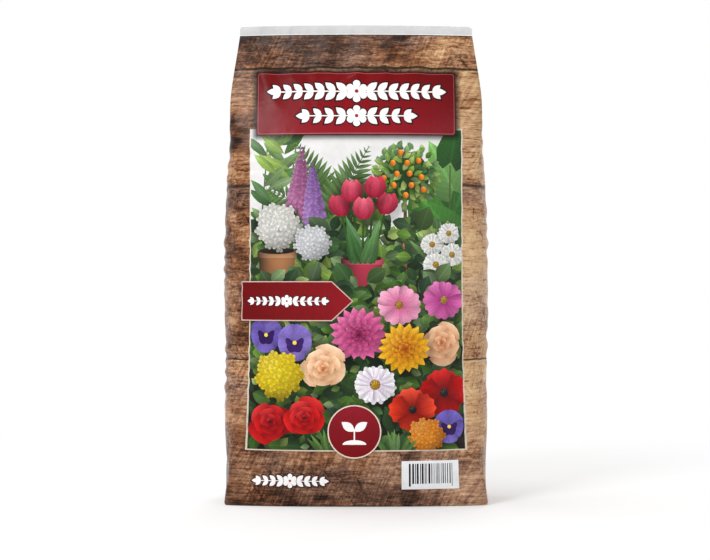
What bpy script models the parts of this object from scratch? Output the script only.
"""A filled, sealed compost bag that stands on its own flat base.

It is one sealed pack, so it is one solid. Its film is a tube with a gusset in each side. The filling rounds
it out into a soft box. At the shoulders the front and the back lean together, the gussets tuck in between
them, and a flat seal strip closes the top. All lengths are in metres, +Z is up, the front faces -Y, and the
origin is the middle of the base.
"""

import math

import bpy
import numpy as np

# Driving sizes of the filled bag
BAG_HEIGHT = 0.7785
BAG_WIDTH = 0.4335
BAG_DEPTH = 0.206
BASE_WIDTH = 0.4265
BASE_DEPTH = 0.168
WAIST_WIDTH = 0.4245

# Half of a gusset's flat width, which is how far each side tucks in at the top
GUSSET_TUCK = 0.078

# The seal strip across the top, and how far its middle bows forward
SEAL_WIDTH = 0.3824
SEAL_STRIP_HEIGHT = 0.0148
SEAL_THICKNESS = 0.0016
SEAL_BOW = 0.015
SEAL_BOW_REACH = 0.20
SEAL_CORNER_RADIUS = 0.006

# The fold where the walls turn under the bag
BASE_FOLD_RADIUS = 0.004

# Puckers of the stretched film along its four upright edges
PUCKER_HEIGHT = 0.0014
PUCKER_PITCH = 0.034
PUCKER_REACH = 0.030
# Pitch on the left edges, as a share of the pitch on the right ones
LEFT_PUCKERS = 0.74
# How far the puckers stray from an even pitch
PUCKER_DRIFT = 0.008
# Flutes that run down from the seal strip over the shoulders
FLUTE_HEIGHT = 0.0015
FLUTE_PITCH = 0.054
FLUTE_REACH = 0.150

# The print on the front, in heights above the base and distances from the middle
PICTURE_HALF_WIDTH = 0.1750
PICTURE_BOTTOM = 0.0900
PICTURE_TOP = 0.5930
BANNER_HALF_WIDTH = 0.161
BANNER_TOP = 0.697
ARROW_LEFT = -0.185
ARROW_SHOULDER = -0.038
ARROW_TIP = -0.005
ARROW_BOTTOM = 0.2965
ARROW_TOP = 0.3597
DISC_RADIUS = 0.043
DISC_HEIGHT = 0.1205
LABEL_LEFT = 0.0722
LABEL_RIGHT = 0.1650
LABEL_BOTTOM = 0.029
LABEL_TOP = 0.0745

# How finely the film is divided
PANEL_COLUMNS = 10
GUSSET_COLUMNS = 5
ROW_PITCH = 0.0115
FOLD_ROWS = 3
CORNER_ROWS = 3
CURVE_POINTS = 240

SEAL_LINE = BAG_HEIGHT - SEAL_STRIP_HEIGHT


def along_profile(stations, share):
    """The value at this share of the way up, on a smooth curve through (share, value) stations."""
    shares = [station[0] for station in stations]
    values = [station[1] for station in stations]
    slopes = np.gradient(values, shares)
    at = min(max(share, shares[0]), shares[-1])
    i = min(int(np.searchsorted(shares, at, side="right")) - 1, len(shares) - 2)
    span = shares[i + 1] - shares[i]
    t = (at - shares[i]) / span
    rise = t * t * (3 - 2 * t)
    slope_terms = t * (1 - t) ** 2 * slopes[i] - t * t * (1 - t) * slopes[i + 1]
    return float(values[i] + rise * (values[i + 1] - values[i]) + span * slope_terms)


def smooth_step(t):
    t = min(max(t, 0.0), 1.0)
    return t * t * (3 - 2 * t)


def half_width(share):
    """Half the bag's width, as a share of the way from the base to the seal line."""
    full = BAG_WIDTH / 2
    seal = SEAL_WIDTH / 2
    beyond_seal = full - seal
    stations = [
        (0.0, BASE_WIDTH / 2),
        (0.042, WAIST_WIDTH / 2),
        (0.095, WAIST_WIDTH / 2 + 0.001),
        (0.16, full * 0.994),
        (0.28, full * 0.989),
        (0.43, full),
        (0.68, full * 0.980),
        (0.80, full * 0.946),
        (0.87, seal + beyond_seal * 0.48),
        (0.915, seal + beyond_seal * 0.32),
        (0.955, seal + beyond_seal * 0.15),
        (1.0, seal),
    ]
    return along_profile(stations, share)


def half_depth(share):
    """Half the bag's depth at its middle, from the base to the seal line."""
    full = BAG_DEPTH / 2
    stations = [
        (0.0, BASE_DEPTH / 2),
        (0.06, full * 0.915),
        (0.20, full * 0.995),
        (0.36, full),
        (0.54, full * 0.985),
        (0.67, full * 0.930),
        (0.77, full * 0.830),
        (0.86, full * 0.615),
        (0.93, full * 0.350),
        (0.975, full * 0.130),
        (1.0, SEAL_THICKNESS / 2),
    ]
    return max(along_profile(stations, share), SEAL_THICKNESS / 2)


def edge_place(share):
    """Where the front's upright edge lies, as shares of the half width and of the half depth."""
    across = [(0.0, 0.985), (0.09, 0.930), (0.22, 0.895), (0.66, 0.895), (0.80, 0.955), (0.88, 0.992)]
    across.append((1.0, 1.0))
    out = [(0.0, 0.800), (0.10, 0.660), (0.22, 0.620), (0.66, 0.620), (0.80, 0.600), (0.92, 0.600), (1.0, 0.900)]
    return along_profile(across, share), along_profile(out, share)


def gusset_state(share):
    """How the gusset stands: 1 where the filling pushes it out, 0 where it is flat, -1 where it is tucked in."""
    swollen = [(0.0, 0.25), (0.10, 0.85), (0.22, 1.0), (0.60, 1.0), (0.72, 0.70)]
    stations = swollen + [(0.79, 0.0), (0.86, -0.60), (0.93, -0.92), (1.0, -1.0)]
    return along_profile(stations, share)


def edge_softness(share):
    """How widely the upright edges are rounded, as a length along the film."""
    stations = [(0.0, 0.004), (0.08, 0.009), (0.22, 0.015), (0.68, 0.014), (0.82, 0.009), (0.93, 0.003), (1.0, 0.0)]
    return along_profile(stations, share)


def softened(x, y, softness):
    """The half section as a closed curve, blurred along its length so that its edges are rounded."""
    lengths = np.concatenate([[0], np.cumsum(np.hypot(np.diff(x), np.diff(y)))])
    even = np.linspace(0, lengths[-1], 2 * CURVE_POINTS)
    spread = int(math.ceil(3 * softness / even[1]))
    if spread < 1:
        return x, y
    offsets = np.arange(-spread, spread + 1) * even[1]
    weights = np.exp(-0.5 * (offsets / softness) ** 2)
    weights /= weights.sum()
    even_x = np.interp(even, lengths, x)
    even_y = np.interp(even, lengths, y)
    wide_x = np.concatenate([-even_x[spread:0:-1], even_x, -even_x[-2 : -spread - 2 : -1]])
    wide_y = np.concatenate([even_y[spread:0:-1], even_y, even_y[-2 : -spread - 2 : -1]])
    blurred_x = np.convolve(wide_x, weights, "valid")
    blurred_y = np.convolve(wide_y, weights, "valid")
    return np.interp(lengths, even, blurred_x), np.interp(lengths, even, blurred_y)


def half_section(z):
    """The right half of the section at a height, from the front's middle round to the back's middle.

    Its points are evenly spread over the front panel, the gusset and the back panel, in that order.
    """
    share = min(z / SEAL_LINE, 1.0)
    width, depth = half_width(share), half_depth(share)
    edge_across, edge_out = edge_place(share)
    edge_x, edge_y = width * edge_across, depth * edge_out
    state = gusset_state(share)
    if state >= 0:
        bulge = (width - edge_x) * state
        flank_power = 1.3 + 1.0 * state
    else:
        bulge = state * math.sqrt(max(GUSSET_TUCK**2 - edge_y**2, 0.0))
        flank_power = 1.3 - 0.3 * smooth_step(-state)
    panel = np.linspace(0, 1, CURVE_POINTS)
    panel_y = edge_y + (depth - edge_y) * (1 - panel**2.6)
    flank = np.linspace(-1, 1, CURVE_POINTS)
    flank_x = edge_x + bulge * (1 - np.abs(flank) ** flank_power)
    x = np.concatenate([edge_x * panel, flank_x[1:-1], edge_x * panel[::-1]])
    y = np.concatenate([-panel_y, edge_y * flank[1:-1], panel_y[::-1]])
    x, y = softened(x, y, edge_softness(share))
    return x * width / x.max(), y * depth / y.max()


def column_points(z):
    """Each column's point of the right half, and how far along the film it lies from the front's middle."""
    x, y = half_section(z)
    front_end = CURVE_POINTS - 1
    back_start = front_end + CURVE_POINTS - 1
    panel_steps = np.linspace(0, front_end, PANEL_COLUMNS + 1)
    gusset_steps = np.linspace(front_end, back_start, 2 * GUSSET_COLUMNS + 1)[1:-1]
    back_steps = np.linspace(back_start, len(x) - 1, PANEL_COLUMNS + 1)
    at = np.concatenate([panel_steps, gusset_steps, back_steps])
    index = np.arange(len(x))
    return np.interp(at, index, x), np.interp(at, index, y)


def edge_nearness(film_place):
    """1 on an upright edge of the bag, falling to 0 away from it."""
    from_edge = (abs(film_place) - SEAL_WIDTH / 2) / PUCKER_REACH
    return math.exp(-from_edge * from_edge)


def relief(film_place, z, is_back):
    """How far the film stands out of its smooth shape: puckers on the edges and flutes on the shoulders."""
    turn = 2 * math.pi
    side = 0.9 if film_place < 0 else 0.0
    back = 1.7 if is_back else 0.0
    body = smooth_step((z - 0.10) / 0.08) * smooth_step((0.64 - z) / 0.08)
    pitch = PUCKER_PITCH * LEFT_PUCKERS if film_place < 0 else PUCKER_PITCH
    uneven = z + PUCKER_DRIFT * math.sin(turn * z / (4.3 * PUCKER_PITCH) + 3 * side)
    wave = math.sin(turn * uneven / pitch + side) + 0.5 * math.sin(turn * uneven / (1.7 * pitch) + 2 * side)
    strength = 0.6 + 0.4 * math.sin(turn * z / (5.6 * PUCKER_PITCH) + side + back)
    in_gusset = smooth_step((abs(film_place) - SEAL_WIDTH / 2) / PUCKER_REACH)
    puckers = PUCKER_HEIGHT * wave * max(edge_nearness(film_place), in_gusset) * body * strength
    below_seal = (SEAL_LINE - z) / FLUTE_REACH
    fade = smooth_step(below_seal * 5) * smooth_step(1 - below_seal)
    lean = film_place * (1 + 0.25 * below_seal)
    flute = math.cos(turn * lean / FLUTE_PITCH + back) + 0.6 * math.sin(turn * lean / (1.62 * FLUTE_PITCH) + back)
    inside_edges = 1 - edge_nearness(film_place)
    return puckers + FLUTE_HEIGHT * flute * fade * inside_edges


def seal_bow(x, z):
    """How far forward the film lies at x, so that the seal strip bows out in its middle."""
    across = min(abs(x) / (SEAL_WIDTH / 2), 1.0)
    return SEAL_BOW * (1 - across * across) * smooth_step(1 - (SEAL_LINE - z) / SEAL_BOW_REACH)


def outward(points):
    """The outward direction at each point of a closed ring that runs anticlockwise seen from above."""
    ahead = np.roll(points, -1, axis=0) - np.roll(points, 1, axis=0)
    normals = np.column_stack([ahead[:, 1], -ahead[:, 0]])
    return normals / np.linalg.norm(normals, axis=1)[:, None]


def body_ring(z):
    """The whole section at a height of the body, from the front's middle round by the right."""
    right_x, right_y = column_points(z)
    steps = np.concatenate([[0], np.cumsum(np.hypot(np.diff(right_x), np.diff(right_y)))])
    ring = np.column_stack([np.concatenate([right_x, -right_x[-2:0:-1]]), np.concatenate([right_y, right_y[-2:0:-1]])])
    half = len(right_x)
    from_front = np.concatenate([steps, -steps[-2:0:-1]])
    directions = outward(ring)
    for i, place in enumerate(from_front):
        is_back = ring[i, 1] > 0
        film_place = place if not is_back else math.copysign(steps[half - 1] - abs(place), place)
        ring[i] += directions[i] * relief(film_place, z, is_back)
    for i in range(len(ring)):
        ring[i, 1] -= seal_bow(ring[i, 0], z)
    return ring


def strip_ring(z):
    """The seal strip's section at a height: the front and back columns only, narrower round its top corners."""
    below_top = BAG_HEIGHT - z
    into_corner = max(SEAL_CORNER_RADIUS - below_top, 0.0)
    cut = SEAL_CORNER_RADIUS - math.sqrt(SEAL_CORNER_RADIUS**2 - into_corner**2)
    reach = SEAL_WIDTH / 2 - cut
    front_x = np.linspace(0, reach, PANEL_COLUMNS + 1)
    x = np.concatenate([front_x, front_x[::-1], -front_x[1:], -front_x[-1:0:-1]])
    half = SEAL_THICKNESS / 2
    front = np.full(PANEL_COLUMNS + 1, -half)
    y = np.concatenate([front, -front, -front[1:], front[1:]])
    y = y - np.array([seal_bow(place, SEAL_LINE) for place in x])
    return np.column_stack([x, y])


def body_heights():
    """Heights of the body's rows, from the top of the base fold to the seal line."""
    span = SEAL_LINE - BASE_FOLD_RADIUS
    count = round(span / ROW_PITCH)
    return [BASE_FOLD_RADIUS + span * i / count for i in range(count + 1)]


def strip_heights():
    """Heights of the seal strip's rows above the seal line, closer together round its top corners."""
    corner_start = BAG_HEIGHT - SEAL_CORNER_RADIUS
    turns = [math.pi / 2 * i / CORNER_ROWS for i in range(CORNER_ROWS)]
    return [corner_start + SEAL_CORNER_RADIUS * math.sin(turn) for turn in turns] + [BAG_HEIGHT]


def fold_rings():
    """Rings of the fold under the walls, from the flat base up to the start of the body."""
    edge = body_ring(BASE_FOLD_RADIUS)
    directions = outward(edge)
    rings = []
    for i in range(FOLD_ROWS):
        turn = math.pi / 2 * (1 - i / FOLD_ROWS)
        inset = BASE_FOLD_RADIUS * (1 - math.cos(turn))
        rings.append((edge - directions * inset, BASE_FOLD_RADIUS * (1 - math.sin(turn))))
    return rings


def colour_field(x, z, on_front_panel):
    """The name of the colour field that a face lies in."""
    if z > SEAL_LINE:
        return "strip_white"
    if not on_front_panel:
        return "wood_brown"
    if math.hypot(x, z - DISC_HEIGHT) < DISC_RADIUS:
        return "disc_red"
    reach = (ARROW_TIP - x) / (ARROW_TIP - ARROW_SHOULDER) * (ARROW_TOP - ARROW_BOTTOM) / 2
    middle = (ARROW_TOP + ARROW_BOTTOM) / 2
    if ARROW_LEFT < x < ARROW_TIP and abs(z - middle) < min(reach, (ARROW_TOP - ARROW_BOTTOM) / 2):
        return "banner_red"
    if PICTURE_BOTTOM < z < PICTURE_TOP and abs(x) < PICTURE_HALF_WIDTH:
        return "picture_green"
    if PICTURE_TOP < z < BANNER_TOP and abs(x) < BANNER_HALF_WIDTH:
        return "banner_red"
    if LABEL_BOTTOM < z < LABEL_TOP and LABEL_LEFT < x < LABEL_RIGHT:
        return "label_grey"
    return "wood_brown"


class FilmMesh:
    """The points and faces of the bag, with a colour field's name for each face."""

    def __init__(self):
        self.points = []
        self.faces = []
        self.fields = []

    def add_ring(self, ring, z):
        first = len(self.points)
        self.points += [(x, y, z) for x, y in ring]
        return list(range(first, len(self.points)))

    def add_face(self, corners, on_front_panel=False):
        x = sum(self.points[i][0] for i in corners) / len(corners)
        z = sum(self.points[i][2] for i in corners) / len(corners)
        self.faces.append(corners)
        self.fields.append(colour_field(x, z, on_front_panel))

    def bridge(self, lower, upper, front_columns):
        """Faces between two rings with the same columns."""
        count = len(lower)
        for i in range(count):
            j = (i + 1) % count
            on_front_panel = min(i, count - 1 - i) < front_columns
            self.add_face([lower[i], lower[j], upper[j], upper[i]], on_front_panel)

    def cap(self, chain):
        """Faces across a chain of points whose front and back halves mirror each other."""
        last = len(chain) - 1
        for i in range(last // 2):
            corners = [chain[i], chain[i + 1], chain[last - i - 1], chain[last - i]]
            self.add_face(list(dict.fromkeys(corners)))


def film_mesh():
    """The closed surface of the bag."""
    film = FilmMesh()
    half = 2 * (PANEL_COLUMNS + GUSSET_COLUMNS)
    rings = [film.add_ring(ring, z) for ring, z in fold_rings()]
    rings += [film.add_ring(body_ring(z), z) for z in body_heights()]
    for lower, upper in zip(rings, rings[1:]):
        film.bridge(lower, upper, PANEL_COLUMNS)
    base, top = rings[0], rings[-1]
    film.cap(base[half::-1])
    film.cap([base[0]] + base[: half - 1 : -1])

    front_end, back_start = PANEL_COLUMNS, half - PANEL_COLUMNS
    film.cap(top[front_end : back_start + 1])
    film.cap(top[len(top) - back_start : len(top) - front_end + 1])
    right = top[: front_end + 1] + top[back_start : half + 1]
    left = top[half + 1 : len(top) - back_start + 1] + top[len(top) - front_end :]
    strip = [right + left]
    strip += [film.add_ring(strip_ring(z), z) for z in strip_heights()]
    for lower, upper in zip(strip, strip[1:]):
        film.bridge(lower, upper, PANEL_COLUMNS)
    crown = strip[-1]
    panel_points = 2 * PANEL_COLUMNS + 2
    film.cap(crown[:panel_points])
    film.cap(crown[panel_points - 1 :] + [crown[0]])
    return film


def film_material(name, colour, roughness):
    material = bpy.data.materials.new(name)
    material.use_nodes = True
    shader = material.node_tree.nodes["Principled BSDF"]
    shader.inputs["Base Color"].default_value = (*colour, 1.0)
    shader.inputs["Roughness"].default_value = roughness
    shader.inputs["Metallic"].default_value = 0.0
    return material


def build_bag():
    """The bag as one object, with its print as plain fields of colour."""
    film = film_mesh()
    mesh = bpy.data.meshes.new("bag")
    mesh.from_pydata(film.points, [], film.faces)
    colours = {
        "wood_brown": (0.27, 0.14, 0.075),
        "strip_white": (0.72, 0.72, 0.71),
        "picture_green": (0.16, 0.20, 0.08),
        "banner_red": (0.20, 0.010, 0.012),
        "disc_red": (0.24, 0.018, 0.024),
        "label_grey": (0.50, 0.50, 0.51),
    }
    for name, colour in colours.items():
        mesh.materials.append(film_material(name, colour, 0.38))
    order = list(colours)
    for polygon, field in zip(mesh.polygons, film.fields):
        polygon.material_index = order.index(field)
    mesh.shade_smooth()
    mesh.set_sharp_from_angle(angle=math.radians(50))
    bag = bpy.data.objects.new("bag", mesh)
    bpy.context.scene.collection.objects.link(bag)
    return bag


def main():
    for old in list(bpy.data.objects):
        bpy.data.objects.remove(old, do_unlink=True)
    build_bag()


main()
